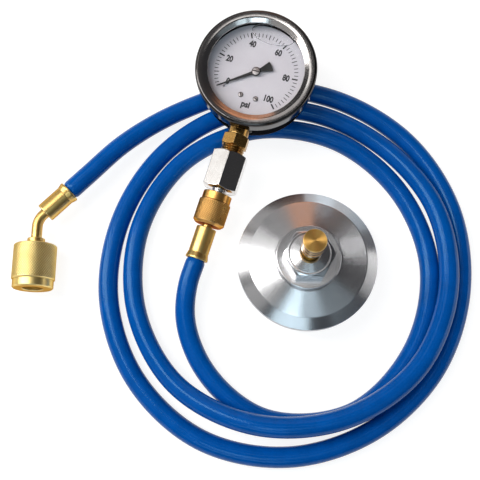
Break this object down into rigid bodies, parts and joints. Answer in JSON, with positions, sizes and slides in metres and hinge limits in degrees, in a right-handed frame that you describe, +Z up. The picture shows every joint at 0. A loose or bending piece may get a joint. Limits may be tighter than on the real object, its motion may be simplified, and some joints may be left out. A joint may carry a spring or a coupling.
{
  "type": "fuel filter cap pressure tester",
  "caption": "Fuel pressure tester: liquid-filled dial gauge on a coiled hose with an angled knurled hand nut, beside a turned filter cap with a hex and a capped test port.",
  "frame": {"origin": "centre of the open end of the filter cap's spigot, on the table that the tester lies on", "axes": "+Z up along the filter cap's axis to its test port, +Y away from the viewer, +X to the viewer's right"},
  "size_m": [0.2563, 0.2476, 0.0622],
  "materials": {
    "case_steel": "satin stainless",
    "bezel_steel": "polished stainless",
    "fitting_plate": "nickel plate",
    "brass": "turned, satin",
    "bronze": "drawn tube",
    "steel": "plain",
    "black_rubber": "matt",
    "hose_rubber": "smooth, slightly glossy",
    "dial_white": "matt white",
    "pointer_black": "matt black",
    "window": "clear",
    "cap_aluminium": "turned"
  },
  "bodies": {
    "tester": {"gauge_case": "case_steel", "fill_plug": "black_rubber", "gauge_bezel": "bezel_steel", "window_gasket": "black_rubber", "gauge_window": "window", "gauge_dial": "dial_white", "dial_screws": "steel", "stop_pin": "brass", "back_plate": "brass", "front_plate": "brass", "movement_posts": "brass", "movement_screws": "steel", "hairspring": "steel", "bourdon_tube": "bronze", "bourdon_tip": "brass", "gauge_socket": "brass", "socket_seal": "black_rubber", "case_screws": "steel", "pulse_restrictor": "brass", "hex_adapter": "fitting_plate", "swivel_gasket": "black_rubber", "hose_nipple": "brass", "gauge_ferrule": "brass", "hose": "hose_rubber", "angle_ferrule": "brass", "angle_tube": "brass", "angle_stem": "brass", "angle_gasket": "black_rubber", "core_depressor": "brass"},
    "sector": {"sector_gear": "brass"},
    "pointer": {"gauge_pointer": "pointer_black", "pinion_arbor": "brass"},
    "link": {"movement_link": "brass"},
    "swivel_nut": {"swivel_nut": "brass"},
    "angle_nut": {"angle_nut": "brass"},
    "filter_cap": {"filter_cap": "cap_aluminium", "cap_o_ring": "black_rubber", "test_port": "brass", "valve_core": "brass", "valve_spring": "steel"},
    "port_seal": {"port_seal": "black_rubber"},
    "port_cap": {"port_cap": "brass"},
    "valve_pin": {"valve_pin": "steel"}
  },
  "joints": [
    {"name": "sector_swing", "type": "hinge", "parent": "tester", "child": "sector", "pos_m": [-0.02405, 0.09195, 0.02299], "axis": [-0.035, -0.1077, 0.9936], "range_deg": [0, 30]},
    {"name": "pointer_turn", "type": "hinge", "parent": "tester", "child": "pointer", "pos_m": [-0.0272, 0.10654, 0.02446], "axis": [0.035, 0.1077, -0.9936], "range_deg": [0, 270]},
    {"name": "link_swing", "type": "hinge", "parent": "sector", "child": "link", "pos_m": [-0.02021, 0.08917, 0.02283], "axis": [-0.035, -0.1077, 0.9936], "range_deg": [-30, 0]},
    {"name": "swivel_nut_turn", "type": "hinge", "parent": "tester", "child": "swivel_nut", "pos_m": [-0.05176, 0.03094, 0.01541], "axis": [-0.307, -0.9449, -0.1132], "continuous": true},
    {"name": "angle_nut_turn", "type": "hinge", "parent": "tester", "child": "angle_nut", "pos_m": [-0.15099, 0.01049, 0.01175], "axis": [0, -1, 0], "continuous": true},
    {"name": "cap_lift", "type": "slide", "parent": "tester", "child": "filter_cap", "axis": [0, 0, 1], "range_m": [0, 0.1]},
    {"name": "port_cap_rise", "type": "slide", "parent": "filter_cap", "child": "port_seal", "axis": [0, 0, 1], "range_m": [0, 0.01]},
    {"name": "port_cap_turn", "type": "hinge", "parent": "port_seal", "child": "port_cap", "pos_m": [0, 0, 0.055], "axis": [0, 0, 1], "range_deg": [0, 3600]},
    {"name": "valve_pin_press", "type": "slide", "parent": "filter_cap", "child": "valve_pin", "axis": [0, 0, -1], "range_m": [0, 0.0012], "stiffness_N_per_m": 400, "deforming": ["valve_spring"]}
  ],
  "couplings": [
    {"joint": "pointer_turn", "follows": "sector_swing", "ratio": 9},
    {"joint": "link_swing", "follows": "sector_swing", "ratio": -1},
    {"joint": "port_cap_rise", "follows": "port_cap_turn", "m_per_rad": 0.00015915}
  ]
}
